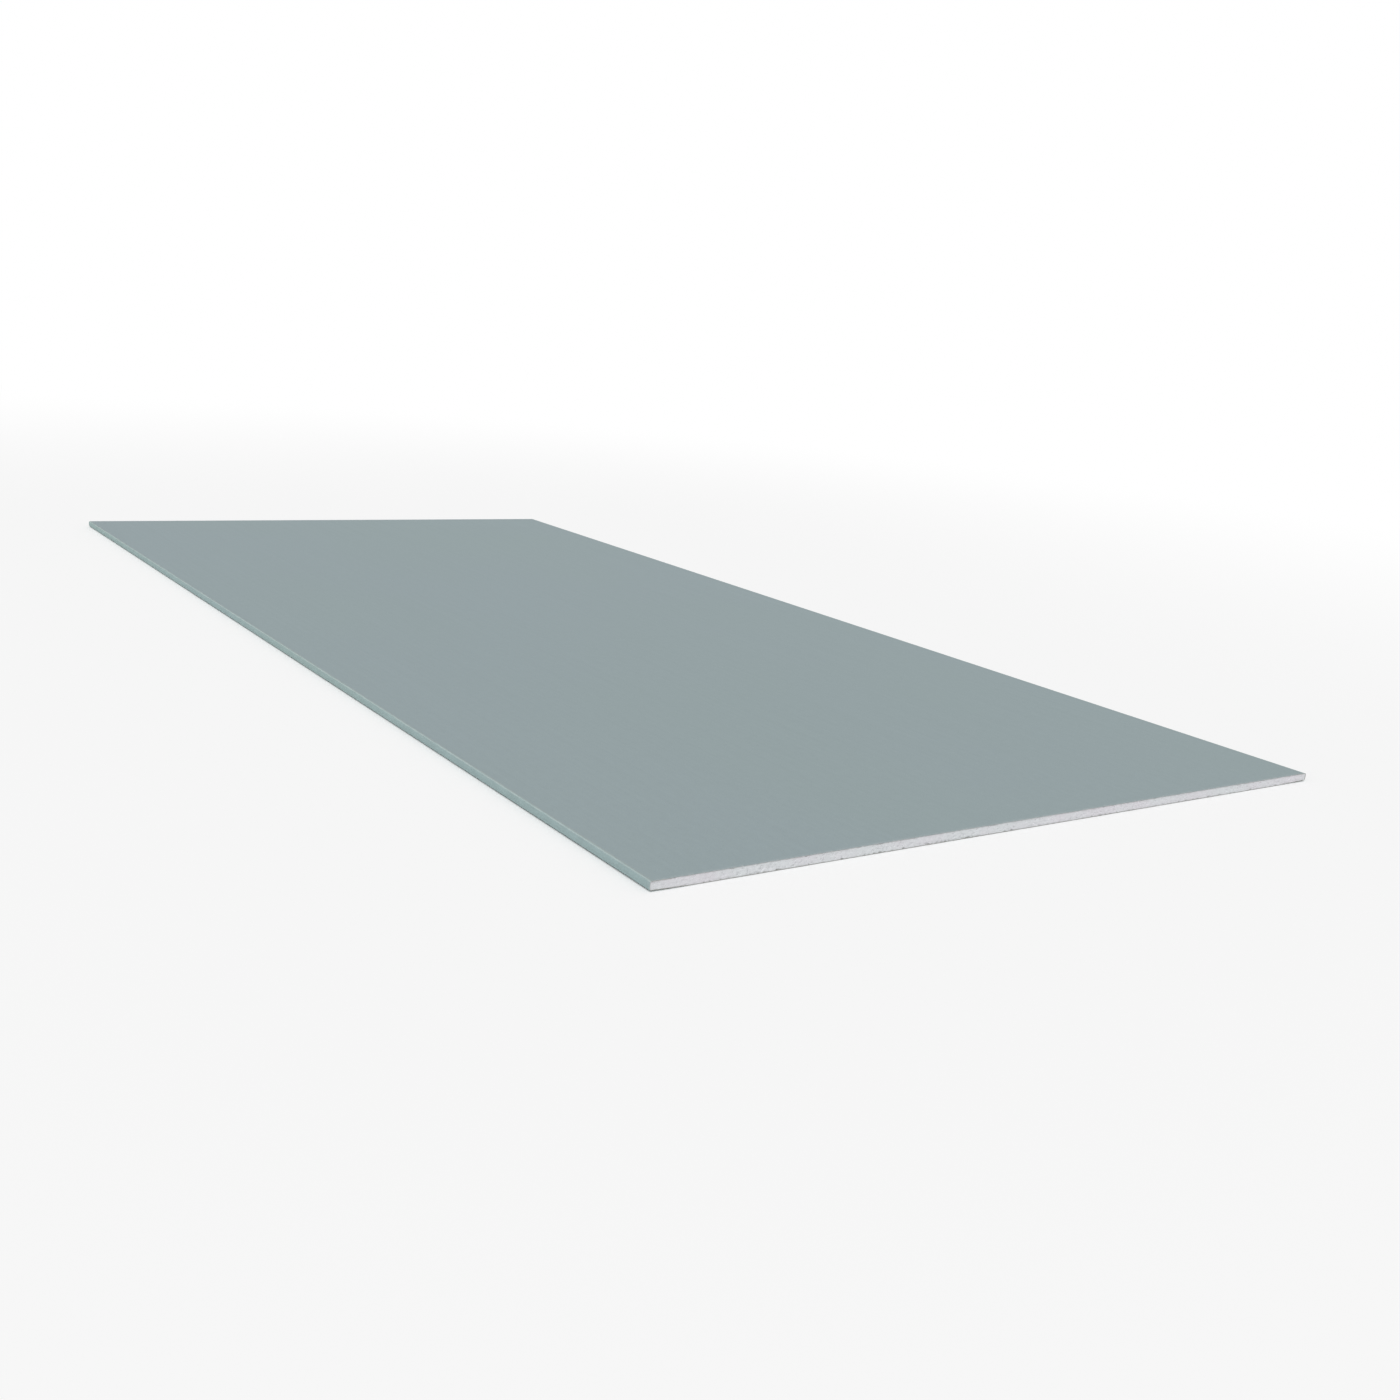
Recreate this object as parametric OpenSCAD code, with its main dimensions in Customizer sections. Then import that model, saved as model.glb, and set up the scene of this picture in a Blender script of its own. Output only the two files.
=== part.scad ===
// Drywall sheet with tapered, paper-bound long edges and square-cut ends.
// It lies with its tapered face down and its back up: X across the width, Y along the length, Z up.
// The origin is at the middle of the underside.

/* [Sheet] */
// Length between the two cut ends
sheet_length = 2500; // [600:1:4000]
// Width between the two bound long edges
sheet_width = 1200; // [300:1:1250]
// Thickness between the flat of the face and the back
sheet_thickness = 12.5; // [6.5:0.5:25]

/* [Tapered edges] */
// Width of the shallow taper along each long edge of the face
taper_width = 60; // [40:1:80]
// Depth of the taper at the long edge
taper_depth = 1.5; // [0.6:0.1:2.5]

/* [Edge folds] */
// Radius at which the face paper folds from the taper onto the long edge
face_fold_radius = 1.2; // [0.5:0.1:2]
// Radius at which the face paper folds from the long edge onto the back
back_fold_radius = 0.8; // [0.5:0.1:1.8]

/* [Hidden] */

// Grey-green paper of a moisture-resistant sheet
paper_colour = [0.58, 0.64, 0.65];
// Sides of the circle that each fold is a quarter of
fold_sides = 96;

half_width = sheet_width / 2;
taper_start = half_width - taper_width;
taper_angle = atan(taper_depth / taper_width);

// Centre of the fold that touches both the taper and the long edge
face_fold_x = half_width - face_fold_radius;
face_fold_z = (face_fold_radius + (taper_width - face_fold_radius) * sin(taper_angle)) / cos(taper_angle);
// Where that fold leaves the taper
taper_end = [
    face_fold_x + face_fold_radius * sin(taper_angle),
    face_fold_z - face_fold_radius * cos(taper_angle),
];

// Centre of the fold that touches both the long edge and the back
back_fold_x = half_width - back_fold_radius;
back_fold_z = sheet_thickness - back_fold_radius;

// Corners of one half of the section, from the start of the taper up to the back
half_section = [
    [taper_start, 0],
    taper_end,
    [half_width, face_fold_z],
    [half_width, back_fold_z],
    [back_fold_x, sheet_thickness],
];
// The same corners on the other side, in the order that goes on round the outline
other_half = [for (i = [len(half_section) - 1 : -1 : 0]) [-half_section[i].x, half_section[i].y]];

// Section across the sheet: flat back, upright long edges with rounded folds, tapered face
module sheet_section() {
    polygon(concat(half_section, other_half));
    for (side = [-1, 1]) {
        translate([side * face_fold_x, face_fold_z])
            circle(r = face_fold_radius, $fn = fold_sides);
        translate([side * back_fold_x, back_fold_z])
            circle(r = back_fold_radius, $fn = fold_sides);
    }
}

// The whole sheet: its section run from one cut end to the other
module drywall_sheet() {
    color(paper_colour)
        rotate([90, 0, 0])
            linear_extrude(height = sheet_length, center = true)
                sheet_section();
}

drywall_sheet();
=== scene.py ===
"""A moisture-resistant drywall sheet, lying face down on a pale floor.

The sheet is dressed as it is made: a foamed gypsum core that shows at the two cut ends, a face paper that
runs under it, folds round both long edges and laps onto the back, and a back paper glued over the laps.
"""

import math

import bmesh
import bpy
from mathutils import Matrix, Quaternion, Vector


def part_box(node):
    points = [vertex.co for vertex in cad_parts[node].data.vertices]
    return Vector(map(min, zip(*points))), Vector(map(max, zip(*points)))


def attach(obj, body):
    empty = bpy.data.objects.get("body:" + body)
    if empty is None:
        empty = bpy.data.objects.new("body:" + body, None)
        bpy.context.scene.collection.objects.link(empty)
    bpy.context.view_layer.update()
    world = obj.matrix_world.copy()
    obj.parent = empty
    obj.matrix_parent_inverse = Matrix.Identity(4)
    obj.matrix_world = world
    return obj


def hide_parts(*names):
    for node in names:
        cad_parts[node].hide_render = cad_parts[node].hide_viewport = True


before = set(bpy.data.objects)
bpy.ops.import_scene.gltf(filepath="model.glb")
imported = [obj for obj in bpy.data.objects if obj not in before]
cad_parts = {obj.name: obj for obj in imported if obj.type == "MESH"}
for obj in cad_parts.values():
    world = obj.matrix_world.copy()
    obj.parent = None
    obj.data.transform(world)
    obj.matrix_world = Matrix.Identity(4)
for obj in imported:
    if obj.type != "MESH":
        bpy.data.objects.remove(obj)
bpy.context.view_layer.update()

# The sheet's own sizes, in metres, from its solid
SHEET = "drywall_sheet"
sheet_low, sheet_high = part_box(SHEET)
half_width = sheet_high.x
half_length = sheet_high.y
back_height = sheet_high.z

# Paper liners: the face paper laps onto the back, and the back paper stops just short of the long edges
face_paper_thickness = 0.00038
back_paper_thickness = 0.00032
lap_width = 0.028
bare_lap = 0.0032
lap_end = half_width - lap_width
lap_height = back_height - back_paper_thickness

# Section of the long edges, as the solid has it, with the slight crown and creases of folded paper
taper_width = 0.060
taper_depth = 0.0015
taper_start = half_width - taper_width
taper_ease = 0.006
ease_steps = 3
face_fold_radius = 0.0012
back_fold_radius = 0.0008
fold_steps = 6
edge_crown = 0.0004
crown_steps = 6
crease_depth = 0.00012
crease_width = 0.0004
edge_foot = half_width - edge_crown
face_fold_x = edge_foot - face_fold_radius
face_fold_z = taper_depth + face_fold_radius
back_fold_x = edge_foot - back_fold_radius
back_fold_z = lap_height - back_fold_radius
crown_low = face_fold_z + crease_width
crown_high = back_fold_z - crease_width

# Gypsum core: it reaches into the papers by the bond, steps down under the lap and follows the folds
bond = 0.00005
core_edge = edge_foot - face_paper_thickness + bond
lap_step = 0.0004
fold_turns = [math.radians(turn) for turn in (0, 25, 50, 75)]

# How the ends were cut: the core stands a little behind the paper's ragged edge, with crumbled arrises
core_recess = 0.0003
arris_reach = 0.0013
fray_reach = 0.002
fray_depth = 0.0005

# How finely the pieces are divided: cells over the flats, and more of them where an end is rough
flat_cells = 40
length_cells = 48
widest_cell = 0.04  # a wider one is halved
widest_end_cell = 0.01  # a wider one is divided again at a rough end
paper_end_cells = 20
core_end_cells = 36
core_end_depth = 0.008
core_rows = 16

# Edges flatter than these angles are shaded smooth
core_smooth_angle = math.radians(65)
paper_smooth_angle = math.radians(35)

# Texture maps of the core and the face paper: the narrow sides that show lie in rows, larger than the rest
MAP_NAME = "OFBake"  # an export bakes the finishes through a map of this name
map_rows = 6  # for each side
row_fill = 0.9
row_margin = 0.01
island_margin = 0.004
core_rows_share = 0.75
paper_rows_share = 0.36
X, Y = 0, 1

# A paper's finishes, in the order of its material slots: the side that shows, and the plies behind it
outer_slot, plies_slot = 0, 1

# Places nearer to each other than this are one place
TINY = 1e-6


# Working on a piece by hand

def add_plane(name, width, depth, location, rotation=(0, 0, 0)):
    """A plane of that size and place, with its size and place in its mesh."""
    bpy.ops.object.select_all(action="DESELECT")
    bpy.ops.mesh.primitive_plane_add(size=1, location=location, rotation=rotation)
    piece = bpy.context.active_object
    piece.name = name
    piece.data.name = name
    piece.scale = (width, depth, 1)
    bpy.ops.object.transform_apply(location=True, rotation=True, scale=True)
    return piece


def pick(piece, kind, chosen):
    """In edit mode, selects only the points, or only the edges, whose ends pass the test."""
    bpy.ops.mesh.select_mode(type=kind)
    bpy.ops.mesh.select_all(action="DESELECT")
    mesh = bmesh.from_edit_mesh(piece.data)
    parts = mesh.verts if kind == "VERT" else mesh.edges
    for part in parts:
        ends = [part] if kind == "VERT" else part.verts
        part.select_set(chosen(*[end.co for end in ends]))
    mesh.select_flush_mode()
    bmesh.update_edit_mesh(piece.data)


def cut_across(place, normal):
    """Cuts all of the piece with a plane, and keeps both sides."""
    bpy.ops.mesh.select_all(action="SELECT")
    bpy.ops.mesh.bisect(plane_co=place, plane_no=normal)


def divide(piece, cells, chosen):
    """Divides the edges that pass the test into that many cells."""
    pick(piece, "EDGE", chosen)
    bpy.ops.mesh.subdivide(number_cuts=cells - 1)


def extrude(move):
    """Draws what is selected out by that move."""
    bpy.ops.mesh.extrude_region_move(TRANSFORM_OT_translate={"value": move})


def face_outwards():
    """Turns all faces of the piece outwards."""
    bpy.ops.mesh.select_all(action="SELECT")
    bpy.ops.mesh.normals_make_consistent(inside=False)


def group_points(piece, name, chosen):
    """Puts the points that pass the test in a new vertex group."""
    piece.vertex_groups.active = piece.vertex_groups.new(name=name)
    pick(piece, "VERT", chosen)
    bpy.ops.object.vertex_group_assign()


def apply_modifier(piece, kind, **settings):
    """Adds a modifier with these settings and applies it."""
    modifier = piece.modifiers.new(kind.title(), kind)
    for setting, value in settings.items():
        setattr(modifier, setting, value)
    bpy.ops.object.modifier_apply(modifier=modifier.name)


def near(value, target):
    """True where two measures give the same place."""
    return abs(value - target) < TINY


def runs_across(start, end, longer_than=TINY):
    """True for an edge that runs across the width and is longer than that."""
    return near(start.y, end.y) and abs(start.x - end.x) > longer_than


def runs_along(start, end, longer_than=TINY):
    """True for an edge that runs along the length and is longer than that."""
    return near(start.x, end.x) and abs(start.y - end.y) > longer_than


def beyond(distance, *points):
    """True where every point lies that far from the sheet's middle, along its length."""
    return all(abs(point.y) > distance - TINY for point in points)


def lay_out_map(piece, along, half_run, shows, share):
    """Lays out a piece's texture map: its two narrow sides in rows over a share of it, the rest above them.

    The sides run along X or Y, and reach that far either way from the middle.
    """
    across = Y if along == X else X
    row_length = 2 * half_run / map_rows
    piece.data.uv_layers.active.name = MAP_NAME
    bpy.ops.object.mode_set(mode="EDIT")
    bpy.ops.mesh.select_mode(type="FACE")
    mesh = bmesh.from_edit_mesh(piece.data)
    for face in mesh.faces:
        face.select_set(not shows(face))
    bmesh.update_edit_mesh(piece.data)
    bpy.ops.uv.smart_project(island_margin=island_margin, scale_to_bounds=True)
    mesh = bmesh.from_edit_mesh(piece.data)
    layer = mesh.loops.layers.uv.active
    for face in mesh.faces:
        in_row = shows(face)
        middle = face.calc_center_median()
        row = min(int((middle[along] + half_run) / row_length), map_rows - 1)
        line = row + map_rows * (middle[across] > 0)
        for corner in face.loops:
            place = corner[layer]
            if in_row:
                run = (corner.vert.co[along] + half_run) / row_length - row
                rise = row_fill * corner.vert.co.z / back_height
                place.uv.x = row_margin + (1 - 2 * row_margin) * run
                place.uv.y = share * (line + rise) / (2 * map_rows)
            else:
                place.uv.y = share + (1 - share) * place.uv.y
    bmesh.update_edit_mesh(piece.data)
    bpy.ops.object.mode_set(mode="OBJECT")


# Roughness of the cut ends

def cloud(name, size, low=0.0, high=1.0):
    """A soft noise of that grain size, spread so that low reads as 0 and high as 1."""
    texture = bpy.data.textures.new(name, "CLOUDS")
    texture.noise_basis = "IMPROVED_PERLIN"
    texture.noise_scale = size
    texture.noise_depth = 2
    texture.use_color_ramp = True
    ramp = texture.color_ramp
    ramp.elements[0].position = low
    ramp.elements[0].color = (0, 0, 0, 1)
    ramp.elements[1].position = high
    ramp.elements[1].color = (1, 1, 1, 1)
    return texture


def eat_back(piece, part, texture, depth):
    """Pushes a part of both ends back from the cut, by up to that depth where the noise is strong."""
    for end, inward in (("near", 1), ("far", -1)):
        apply_modifier(
            piece, "DISPLACE", texture=texture, texture_coords="LOCAL", direction="Y",
            vertex_group=f"{end}_{part}", mid_level=0.0, strength=inward * depth,
        )


# Gypsum core

def crown(height):
    """How far the long edge stands out beyond its foot at that height: most halfway up."""
    middle = (crown_low + crown_high) / 2
    away = (height - middle) / (crown_high - middle)
    return edge_crown * max(0.0, 1 - away**2)


def core_bottom(x):
    """Height of the core's underside: flat, then the taper, then round the fold."""
    if x > face_fold_x:
        radius = core_edge - face_fold_x
        return face_fold_z - math.sqrt(max(0.0, radius**2 - (x - face_fold_x) ** 2))
    return face_paper_thickness - bond + max(0.0, x - taper_start) * taper_depth / taper_width


def core_top(x):
    """Height of the core's top: under the back paper, lower under the lap, then round the fold."""
    if x > back_fold_x:
        radius = core_edge - back_fold_x
        return back_fold_z + math.sqrt(max(0.0, radius**2 - (x - back_fold_x) ** 2))
    if x > lap_end - TINY:
        return lap_height - face_paper_thickness + bond
    return lap_height + bond


def core_columns():
    """Places across the width where the core's outline turns, on the positive side."""
    places = [taper_start, lap_end - lap_step, lap_end]
    for fold_x in (face_fold_x, back_fold_x):
        radius = core_edge - fold_x
        places += [fold_x + radius * math.sin(turn) for turn in fold_turns]
    return sorted(places)


def draw_core_section(core):
    """Shapes a standing plane to the core's section, and divides it into cells."""
    columns = core_columns()
    for place in columns:
        for side in (-1, 1):
            cut_across((side * place, 0, 0), (1, 0, 0))
    for place in [*columns, core_edge]:
        for height, target in ((0, core_bottom(place)), (back_height, core_top(place))):
            pick(core, "VERT", lambda point: near(abs(point.x), place) and near(point.z, height))
            bpy.ops.transform.translate(value=(0, 0, target - height))
    divide(core, flat_cells, lambda start, end: runs_across(start, end, taper_start))
    divide(core, core_rows, lambda start, end: near(start.x, end.x))
    low, high = core_bottom(core_edge), core_top(core_edge)
    for row in range(1, core_rows):
        height = low + (high - low) * row / core_rows
        for side in (-1, 1):
            pick(core, "VERT", lambda point: near(point.x, side * core_edge) and near(point.z, height))
            bpy.ops.transform.translate(value=(side * crown(height), 0, 0))


def roughen_core(core, cut):
    """Crumbles both cuts: a slow wander, a fine grain, pits, chips, and crumbs lost from the arrises."""
    arris_low = face_paper_thickness + arris_reach
    arris_high = lap_height - arris_reach
    for end, side in (("near", -1), ("far", 1)):
        group_points(core, f"{end}_cut", lambda point: near(point.y, side * cut))
        group_points(
            core, f"{end}_arris",
            lambda point: near(point.y, side * cut) and not arris_low < point.z < arris_high,
        )
    bpy.ops.object.mode_set(mode="OBJECT")
    eat_back(core, "cut", cloud("wander", size=0.045), depth=0.0005)
    eat_back(core, "cut", cloud("grain", size=0.0022), depth=0.0004)
    eat_back(core, "cut", cloud("pits", size=0.0036, low=0.58, high=0.74), depth=0.0016)
    eat_back(core, "cut", cloud("chips", size=0.012, low=0.60, high=0.78), depth=0.0018)
    eat_back(core, "arris", cloud("crumbs", size=0.0075, low=0.57, high=0.72), depth=0.0015)
    bpy.ops.object.shade_smooth_by_angle(angle=core_smooth_angle)


def make_gypsum_core(finish):
    """The foamed core: its section drawn at the near cut, run to the far cut, and both cuts roughened."""
    cut = half_length - core_recess
    fine = cut - core_end_depth
    cell = 2 * half_length / length_cells
    core = add_plane(
        "gypsum_core", 2 * core_edge, back_height,
        location=(0, -cut, back_height / 2), rotation=(math.pi / 2, 0, 0),
    )
    bpy.ops.object.mode_set(mode="EDIT")
    draw_core_section(core)
    bpy.ops.mesh.select_all(action="SELECT")
    extrude((0, 2 * cut, 0))
    face_outwards()
    for place in (-fine, -fine + cell, fine - cell, fine):
        cut_across((0, place, 0), (0, 1, 0))
    divide(core, length_cells - 2, lambda start, end: runs_along(start, end, half_length))
    divide(
        core, core_end_cells,
        lambda start, end: runs_across(start, end, widest_end_cell) and beyond(fine, start, end),
    )
    roughen_core(core, cut)
    core.data.materials.append(finish)
    shown = cut - core_end_depth / 2
    lay_out_map(
        core, X, half_width,
        lambda face: beyond(shown, *[corner.co for corner in face.verts]),
        core_rows_share,
    )
    return core


# Paper liners

def lay_cells(paper):
    """Divides the paper into cells, and its two end strips finely, so that its cut edge can fray."""
    strip = half_length - fray_reach
    for place in (-strip, strip):
        cut_across((0, place, 0), (0, 1, 0))
    divide(paper, length_cells, lambda start, end: runs_along(start, end, half_length))
    divide(paper, flat_cells, lambda start, end: runs_across(start, end, taper_start))
    divide(paper, 2, lambda start, end: runs_across(start, end, widest_cell))
    divide(
        paper, paper_end_cells,
        lambda start, end: runs_across(start, end, widest_end_cell) and beyond(strip, start, end),
    )


def finish_paper(paper, thickness, finishes):
    """Frays the cut ends by a fraction of a millimetre, and gives the paper its thickness, inwards."""
    for finish in finishes:
        paper.data.materials.append(finish)
    group_points(paper, "near_cut", lambda point: near(point.y, -half_length))
    group_points(paper, "far_cut", lambda point: near(point.y, half_length))
    bpy.ops.object.mode_set(mode="OBJECT")
    eat_back(paper, "cut", cloud("tear", size=0.006, low=0.45, high=0.78), fray_depth)
    apply_modifier(
        paper, "SOLIDIFY", thickness=thickness, offset=-1,
        material_offset=plies_slot, material_offset_rim=plies_slot,
    )
    bpy.ops.object.shade_smooth_by_angle(angle=paper_smooth_angle)


def edge_profile():
    """Points of the folded edge, from the start of the taper round to the end of the lap, as (x, z)."""
    crease = edge_foot - crease_depth
    rise = (crown_high - crown_low) / crown_steps
    heights = [crown_low + rise * step for step in range(1, crown_steps)]
    return [
        (taper_start, 0), (edge_foot, taper_depth), (crease, crown_low),
        *[(edge_foot + crown(height), height) for height in heights],
        (crease, crown_high), (edge_foot, lap_height), (lap_end, lap_height),
    ]


def make_face_paper(finishes):
    """One sheet of paper: under the face, up the tapers, round both long edges and onto the back."""
    paper = add_plane("face_paper", 2 * taper_start, 2 * half_length, (0, 0, 0), (math.pi, 0, 0))
    profile = edge_profile()
    bpy.ops.object.mode_set(mode="EDIT")
    for side in (-1, 1):
        border = side * taper_start
        pick(paper, "EDGE", lambda start, end: near(start.x, border) and near(end.x, border))
        for (from_x, from_z), (to_x, to_z) in zip(profile, profile[1:]):
            extrude((side * (to_x - from_x), 0, to_z - from_z))
    for x, z, radius, steps in (
        (taper_start, 0, taper_ease, ease_steps),
        (edge_foot, taper_depth, face_fold_radius, fold_steps),
        (edge_foot, lap_height, back_fold_radius, fold_steps),
    ):
        pick(
            paper, "EDGE",
            lambda start, end: runs_along(start, end) and near(abs(start.x), x) and near(start.z, z),
        )
        bpy.ops.mesh.bevel(offset=radius, segments=steps, affect="EDGES")
    lay_cells(paper)
    face_outwards()
    finish_paper(paper, face_paper_thickness, finishes)
    shown = face_fold_x - TINY
    lay_out_map(
        paper, Y, half_length,
        lambda face: face.material_index == outer_slot and all(abs(end.co.x) > shown for end in face.verts),
        paper_rows_share,
    )
    return paper


def make_back_paper(finishes):
    """The back paper, glued over the laps and short of the long edges."""
    paper = add_plane(
        "back_paper", 2 * (half_width - bare_lap), 2 * half_length, (0, 0, back_height),
    )
    bpy.ops.object.mode_set(mode="EDIT")
    lay_cells(paper)
    finish_paper(paper, back_paper_thickness, finishes)
    return paper


# Mixing a finish out of nodes

# Nearly all of a noise lies between these values
NOISE_RANGE = (0.3, 0.7)


def noise(tree, grain, seed, detail=2.0):
    """A noise whose grains have that size along X, Y and Z, in metres."""
    seed_steps = (1.0, 1.7, 2.3)
    coordinates = tree.nodes.new("ShaderNodeTexCoord")
    mapping = tree.nodes.new("ShaderNodeMapping")
    mapping.inputs["Location"].default_value = [seed * step for step in seed_steps]
    mapping.inputs["Scale"].default_value = [1 / size for size in grain]
    texture = tree.nodes.new("ShaderNodeTexNoise")
    texture.inputs["Scale"].default_value = 1.0
    texture.inputs["Detail"].default_value = detail
    tree.links.new(coordinates.outputs["Object"], mapping.inputs["Vector"])
    tree.links.new(mapping.outputs["Vector"], texture.inputs["Vector"])
    return texture.outputs["Fac"]


def spread(tree, value, found, wanted=(0.0, 1.0)):
    """Spreads a value from the range it is found in to the range that is wanted."""
    reading = tree.nodes.new("ShaderNodeMapRange")
    for name, number in zip(("From Min", "From Max", "To Min", "To Max"), (*found, *wanted)):
        reading.inputs[name].default_value = number
    tree.links.new(value, reading.inputs["Value"])
    return reading.outputs["Result"]


def vary(tree, grain, seed, share):
    """A noise that swings about 1 by that share either way."""
    return spread(tree, noise(tree, grain, seed), NOISE_RANGE, (1 - share, 1 + share))


def combine(tree, operation, first, second=0.0):
    """Works two values together with a maths node."""
    maths = tree.nodes.new("ShaderNodeMath")
    maths.operation = operation
    for socket, value in zip(maths.inputs, (first, second)):
        if isinstance(value, float):
            socket.default_value = value
        else:
            tree.links.new(value, socket)
    return maths.outputs["Value"]


def blend(tree, first, second, amount, mode="MIX"):
    """Lays a second colour over a first one by that amount."""
    mix = tree.nodes.new("ShaderNodeMix")
    mix.data_type = "RGBA"
    mix.blend_type = mode
    sockets = {socket.identifier: socket for socket in mix.inputs}
    for name, value in (("A_Color", first), ("B_Color", second), ("Factor_Float", amount)):
        if isinstance(value, float):
            sockets[name].default_value = value
        elif isinstance(value, tuple):
            sockets[name].default_value = (*value, 1)
        else:
            tree.links.new(value, sockets[name])
    return next(socket for socket in mix.outputs if socket.identifier == "Result_Color")


def shade(tree, colour, *swings):
    """Darkens and lightens a colour by several swings about 1."""
    for swing in swings:
        colour = blend(tree, colour, swing, 1.0, "MULTIPLY")
    return colour


def relief(tree, height, strength, depth):
    """Turns a height into a bump and gives it to the shader."""
    bump = tree.nodes.new("ShaderNodeBump")
    bump.inputs["Strength"].default_value = strength
    bump.inputs["Distance"].default_value = depth
    tree.links.new(height, bump.inputs["Height"])
    tree.links.new(bump.outputs["Normal"], tree.nodes["Principled BSDF"].inputs["Normal"])


def matt_material(name, colour, roughness, specular):
    """A matt material of one colour, to be worked up."""
    material = bpy.data.materials.new(name)
    material.use_nodes = True
    shader = material.node_tree.nodes["Principled BSDF"]
    shader.inputs["Base Color"].default_value = (*colour, 1)
    shader.inputs["Roughness"].default_value = roughness
    shader.inputs["Specular IOR Level"].default_value = specular
    return material


# Finishes of the sheet

def distance_out(tree, axis):
    """How far a point of the piece lies from the sheet's middle along that axis."""
    coordinates = tree.nodes.new("ShaderNodeTexCoord")
    split = tree.nodes.new("ShaderNodeSeparateXYZ")
    tree.links.new(coordinates.outputs["Object"], split.inputs["Vector"])
    return combine(tree, "ABSOLUTE", split.outputs[axis])


def cut_dust(tree):
    """How much gypsum dust clings near a cut end: most at the cut, none beyond its reach."""
    reach = 0.008
    closeness = spread(tree, distance_out(tree, "Y"), (half_length - reach, half_length))
    patches = spread(tree, noise(tree, (0.003, 0.003, 0.003), seed=31.0), (0.40, 0.70), (0.0, 0.4))
    return combine(tree, "MULTIPLY", combine(tree, "POWER", closeness, 2.0), patches)


def arris_highlight_and_rubbing(tree):
    """How much the paper is painted pale along the back's two long arrises, most on the fold itself: a
    painted highlight where the fold catches the light, with some rubbing.
    """
    reach = 0.005
    crest = 0.001
    rise = 0.0005
    outward = spread(tree, distance_out(tree, "X"), (half_width - reach, half_width - crest))
    upward = spread(tree, distance_out(tree, "Z"), (back_fold_z - rise, back_fold_z + rise))
    patches = spread(tree, noise(tree, (0.003, 0.020, 0.003), seed=37.0), NOISE_RANGE, (0.10, 0.40))
    return combine(tree, "MULTIPLY", combine(tree, "MULTIPLY", outward, upward), patches)


def fibres(tree, grain, seed, found, strength):
    """Short fibres that lie along the sheet, where a fine noise is at its strongest."""
    return spread(tree, noise(tree, grain, seed), found, (0.0, strength))


def paper_finish(name, cool, warm, seed, mottle, speckle, fleck):
    """Liner paper: cloudy formation, streaks along the sheet, fibres, a painted highlight with some rubbing
    along the arrises, and cut dust.
    """
    dark_fibre = (0.10, 0.12, 0.12)
    pale_fibre = (0.62, 0.66, 0.64)
    dust = (0.70, 0.69, 0.70)
    material = matt_material(name, cool, roughness=0.9, specular=0.25)
    tree = material.node_tree
    shader = tree.nodes["Principled BSDF"]
    drift = spread(tree, noise(tree, (0.35, 0.8, 0.35), seed), (0.35, 0.65))
    formation = noise(tree, (0.009, 0.020, 0.009), seed + 3)
    clouds = spread(tree, formation, NOISE_RANGE, (1 - mottle, 1 + mottle))
    streaks = vary(tree, (0.006, 0.5, 0.006), seed + 7, share=0.012)
    specks = vary(tree, (0.0014, 0.0022, 0.0014), seed + 11, share=speckle)
    dark_fibres = fibres(tree, (0.0006, 0.0028, 0.0006), seed + 13, (0.66, 0.76), fleck)
    pale_fibres = fibres(tree, (0.0005, 0.0032, 0.0005), seed + 17, (0.67, 0.77), fleck)
    toned = shade(tree, blend(tree, cool, warm, drift), clouds, streaks, specks)
    toned = blend(tree, toned, dark_fibre, dark_fibres)
    toned = blend(tree, toned, pale_fibre, pale_fibres)
    # The back's long arrises are painted pale: a painted highlight on the fold, with some rubbing
    toned = blend(tree, toned, pale_fibre, arris_highlight_and_rubbing(tree))
    toned = blend(tree, toned, dust, cut_dust(tree))
    tree.links.new(toned, shader.inputs["Base Color"])
    tree.links.new(spread(tree, formation, NOISE_RANGE, (0.84, 0.96)), shader.inputs["Roughness"])
    fuzz = noise(tree, (0.0005, 0.0016, 0.0005), seed + 19, detail=3.0)
    relief(tree, combine(tree, "ADD", fuzz, formation), strength=0.35, depth=0.00008)
    return material


def inner_plies_finish():
    """The paper's undyed plies, which show at a cut: grey, in faint plies and strands."""
    grey = (0.40, 0.40, 0.38)
    material = matt_material("inner_plies", grey, roughness=0.95, specular=0.2)
    tree = material.node_tree
    plies = vary(tree, (0.002, 0.002, 0.0001), seed=41.0, share=0.2)
    strands = vary(tree, (0.0008, 0.003, 0.0008), seed=43.0, share=0.08)
    toned = shade(tree, grey, plies, strands)
    tree.links.new(toned, tree.nodes["Principled BSDF"].inputs["Base Color"])
    return material


def gypsum_finish():
    """Foamed gypsum as cut: off-white with a cool cast, grainy, with fine pore hollows painted dark as
    painted shade, and a few dark specks.
    """
    cool = (0.672, 0.696, 0.712)
    rosy = (0.686, 0.675, 0.708)
    pore_shade = (0.34, 0.33, 0.34)
    speck_shade = (0.20, 0.18, 0.17)
    material = matt_material("gypsum", cool, roughness=0.95, specular=0.2)
    tree = material.node_tree
    cast = spread(tree, noise(tree, (0.05, 0.05, 0.05), seed=51.0), (0.35, 0.65))
    mottle = vary(tree, (0.006, 0.006, 0.004), seed=53.0, share=0.045)
    grain = vary(tree, (0.0009, 0.0009, 0.0009), seed=57.0, share=0.08)
    pores_and_painted_shade = spread(tree, noise(tree, (0.0011, 0.0011, 0.0011), seed=61.0), (0.62, 0.72), (0.0, 0.35))
    specks = spread(tree, noise(tree, (0.0032, 0.0032, 0.0022), seed=67.0), (0.73, 0.78), (0.0, 0.55))
    toned = shade(tree, blend(tree, cool, rosy, cast), mottle, grain)
    # The pore hollows are darkened with painted shade
    toned = blend(tree, toned, pore_shade, pores_and_painted_shade)
    toned = blend(tree, toned, speck_shade, specks)
    tree.links.new(toned, tree.nodes["Principled BSDF"].inputs["Base Color"])
    relief(tree, combine(tree, "SUBTRACT", grain, pores_and_painted_shade), strength=0.5, depth=0.00025)
    return material


# Floor, light and camera

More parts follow.
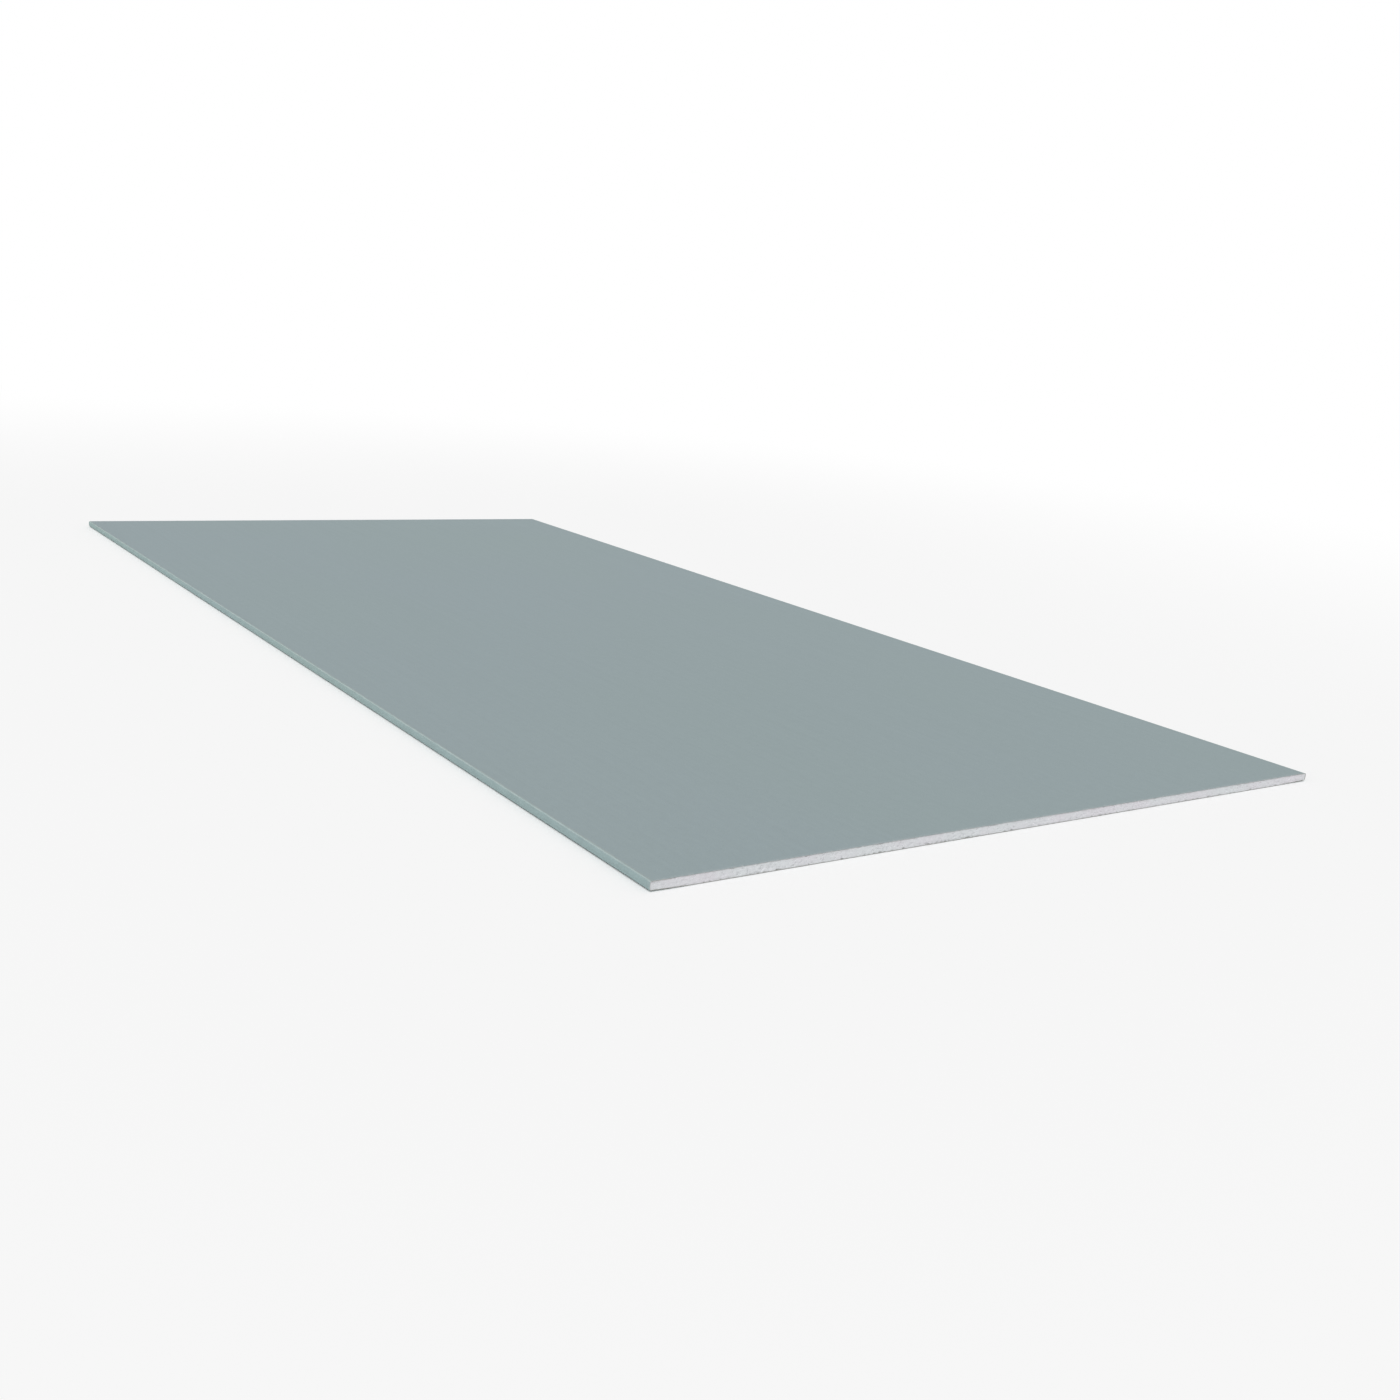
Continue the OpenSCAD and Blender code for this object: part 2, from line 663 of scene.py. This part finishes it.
def seen_directly(tree):
    """1 for the camera and for what mirrors and glass show, 0 for light that falls on the sheet."""
    path = tree.nodes.new("ShaderNodeLightPath")
    seen = combine(tree, "MAXIMUM", path.outputs["Is Camera Ray"], path.outputs["Is Glossy Ray"])
    return combine(tree, "MAXIMUM", seen, path.outputs["Is Transmission Ray"])


def beyond_outline(tree):
    """How far a point of the floor lies outside the sheet's outline."""
    coordinates = tree.nodes.new("ShaderNodeTexCoord")
    reach = coordinates.outputs["Object"]
    for operation, value in (
        ("ABSOLUTE", (0, 0, 0)), ("SUBTRACT", (half_width, half_length, 0)),
        ("MAXIMUM", (0, 0, 0)), ("LENGTH", (0, 0, 0)),
    ):
        maths = tree.nodes.new("ShaderNodeVectorMath")
        maths.operation = operation
        maths.inputs[1].default_value = value
        tree.links.new(reach, maths.inputs[0])
        reach = next(socket for socket in maths.outputs if socket.enabled)
    return reach


def make_floor():
    """A white floor that keeps the sheet's shadow, and fades into the white room away from the sheet."""
    side = 80
    clearance = 0.0004
    bounced_white = 0.93
    fade_start, fade_end = 0.05, 4.0
    floor = add_plane("floor", side, side, (0, 0, sheet_low.z - clearance))
    material = matt_material("pale_floor", (1, 1, 1), roughness=0.95, specular=0.0)
    tree = material.node_tree
    shader = tree.nodes["Principled BSDF"]
    seen = seen_directly(tree)
    tree.links.new(spread(tree, seen, (0.0, 1.0), (bounced_white, 1.0)), shader.inputs["Base Color"])
    away = spread(tree, beyond_outline(tree), (fade_start, fade_end))
    away.node.interpolation_type = "SMOOTHSTEP"
    white = tree.nodes.new("ShaderNodeEmission")
    mix = tree.nodes.new("ShaderNodeMixShader")
    tree.links.new(combine(tree, "MULTIPLY", away, seen), mix.inputs["Fac"])
    tree.links.new(shader.outputs["BSDF"], mix.inputs[1])
    tree.links.new(white.outputs["Emission"], mix.inputs[2])
    tree.links.new(mix.outputs["Shader"], tree.nodes["Material Output"].inputs["Surface"])
    floor.data.materials.append(material)


def make_room_light():
    """An even white room that looks white itself."""
    room_level = 0.56
    world = bpy.data.worlds.new("soft_room")
    bpy.context.scene.world = world
    world.use_nodes = True
    tree = world.node_tree
    background = tree.nodes["Background"]
    background.inputs["Color"].default_value = (1, 1, 1, 1)
    level = spread(tree, seen_directly(tree), (0.0, 1.0), (room_level, 1.0))
    tree.links.new(level, background.inputs["Strength"])


def make_key_light():
    """One broad soft lamp, from above and in front, a little to the left."""
    lamp_level = 1.48
    lamp_spread = math.radians(50)
    towards_sheet = Vector((0.38, 0.52, -0.77))
    bpy.ops.object.light_add(type="SUN")
    lamp = bpy.context.active_object
    lamp.name = "key_light"
    lamp.data.energy = lamp_level
    lamp.data.angle = lamp_spread
    lamp.rotation_euler = towards_sheet.to_track_quat("-Z", "Y").to_euler()


def make_camera():
    """The photograph's place and direction of view, drawn in on the sheet."""
    place = Vector((-1.479, -2.541, 0.618))
    azimuth = math.radians(35.6)
    elevation = math.radians(14.25)
    roll = math.radians(5.02)
    image_pixels = 1400
    focal_pixels = 1267
    draw_in = 1.2
    ahead = Vector((
        math.sin(azimuth) * math.cos(elevation),
        math.cos(azimuth) * math.cos(elevation),
        -math.sin(elevation),
    ))
    camera = bpy.data.objects.new("camera", bpy.data.cameras.new("camera"))
    bpy.context.scene.collection.objects.link(camera)
    camera.location = place
    camera.rotation_mode = "QUATERNION"
    camera.rotation_quaternion = ahead.to_track_quat("-Z", "Y") @ Quaternion((0, 0, 1), roll)
    camera.data.lens = camera.data.sensor_width * focal_pixels * draw_in / image_pixels
    bpy.context.scene.camera = camera


# Making the three pieces, each with its finishes, in place of the plain solid, and their setting

face_finish = paper_finish(
    "face_paper", cool=(0.338, 0.440, 0.443), warm=(0.336, 0.443, 0.430), seed=5.0,
    mottle=0.045, speckle=0.06, fleck=0.30,
)
back_finish = paper_finish(
    "back_paper", cool=(0.303, 0.366, 0.383), warm=(0.302, 0.368, 0.378), seed=9.0,
    mottle=0.02, speckle=0.03, fleck=0.35,
)
inner_plies = inner_plies_finish()
core = make_gypsum_core(gypsum_finish())
face = make_face_paper([face_finish, inner_plies])
back = make_back_paper([back_finish, inner_plies])
for piece, slot in ((core, "gypsum_core"), (face, "face_paper"), (back, "liner_paper")):
    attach(piece, "root")
    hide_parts(SHEET)

make_floor()
make_room_light()
make_key_light()
make_camera()
bpy.context.scene.view_settings.view_transform = "Standard"
